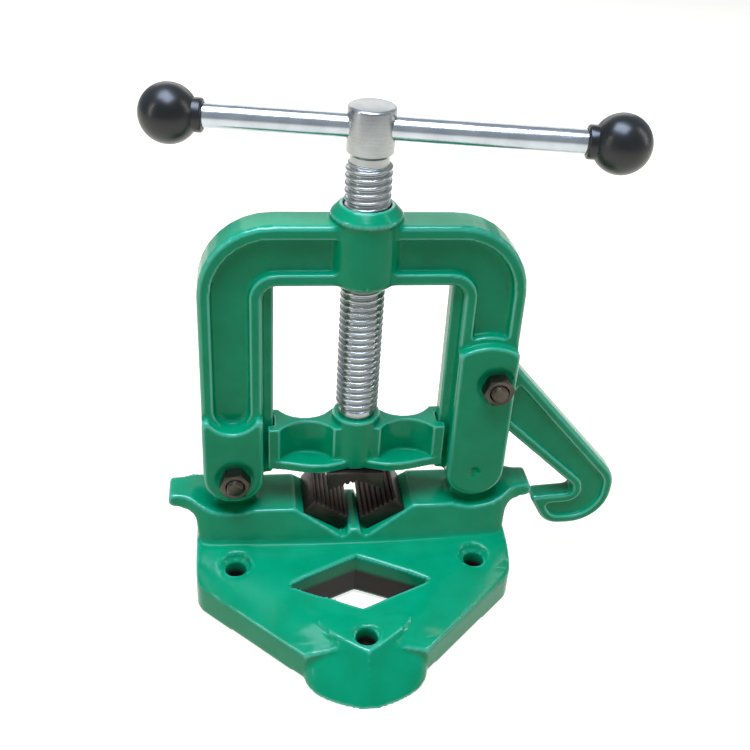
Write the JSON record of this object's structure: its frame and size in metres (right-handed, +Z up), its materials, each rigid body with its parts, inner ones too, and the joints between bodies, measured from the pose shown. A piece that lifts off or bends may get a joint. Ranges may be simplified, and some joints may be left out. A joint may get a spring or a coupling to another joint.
{
  "type": "bench yoke pipe vise",
  "caption": "Bench yoke pipe vise: cast base with a toothed V, a hinged yoke held by a swing hook, and a screw with a sliding T-bar that drives a guided upper jaw.",
  "frame": {"origin": "screw axis at the underside of the base", "axes": "+Z up along the clamp screw, +X to the hook side, +Y along the pipe away from the user"},
  "size_m": [0.2288, 0.1283, 0.2433],
  "materials": {
    "green_enamel": "gloss",
    "bright_steel": "bright",
    "black_oxide": "oiled black",
    "tool_steel": "hardened black",
    "black_phenolic": "gloss"
  },
  "bodies": {
    "base": {"base_casting": "green_enamel", "lower_jaw_left": "tool_steel", "lower_jaw_right": "tool_steel", "lower_jaw_pin_left": "bright_steel", "lower_jaw_pin_right": "bright_steel"},
    "yoke": {"yoke_casting": "green_enamel", "yoke_pivot_bolt": "black_oxide", "yoke_pivot_nut": "black_oxide", "hook_pivot_bolt": "black_oxide", "hook_pivot_nut": "black_oxide"},
    "hook": {"hook_latch": "green_enamel"},
    "slider": {"crosshead": "green_enamel", "upper_jaw": "tool_steel", "upper_jaw_pin_left": "bright_steel", "upper_jaw_pin_right": "bright_steel"},
    "screw": {"clamp_screw": "bright_steel", "screw_retainer_washer": "bright_steel", "screw_retainer_bolt": "black_oxide"},
    "handle": {"handle_bar": "bright_steel", "knob_left": "black_phenolic", "knob_right": "black_phenolic"}
  },
  "joints": [
    {"name": "yoke_swing", "type": "hinge", "parent": "base", "child": "yoke", "pos_m": [-0.058, 0, 0.06175], "axis": [0, -1, 0], "range_deg": [0, 78]},
    {"name": "hook_swing", "type": "hinge", "parent": "yoke", "child": "hook", "pos_m": [0.0635, 0, 0.112], "axis": [0, -1, 0], "range_deg": [-9, 58]},
    {"name": "crosshead_slide", "type": "slide", "parent": "yoke", "child": "slider", "axis": [0, 0, 1], "range_m": [-0.008, 0.062]},
    {"name": "screw_turn", "type": "hinge", "parent": "slider", "child": "screw", "pos_m": [0, 0, 0.2], "axis": [0, 0, 1], "range_deg": [-870, 6760]},
    {"name": "handle_slide", "type": "slide", "parent": "screw", "child": "handle", "axis": [0.9866, -0.1633, 0], "range_m": [-0.0765, 0.058]}
  ],
  "couplings": [
    {"joint": "crosshead_slide", "follows": "screw_turn", "m_per_rad": 0.00052521}
  ]
}
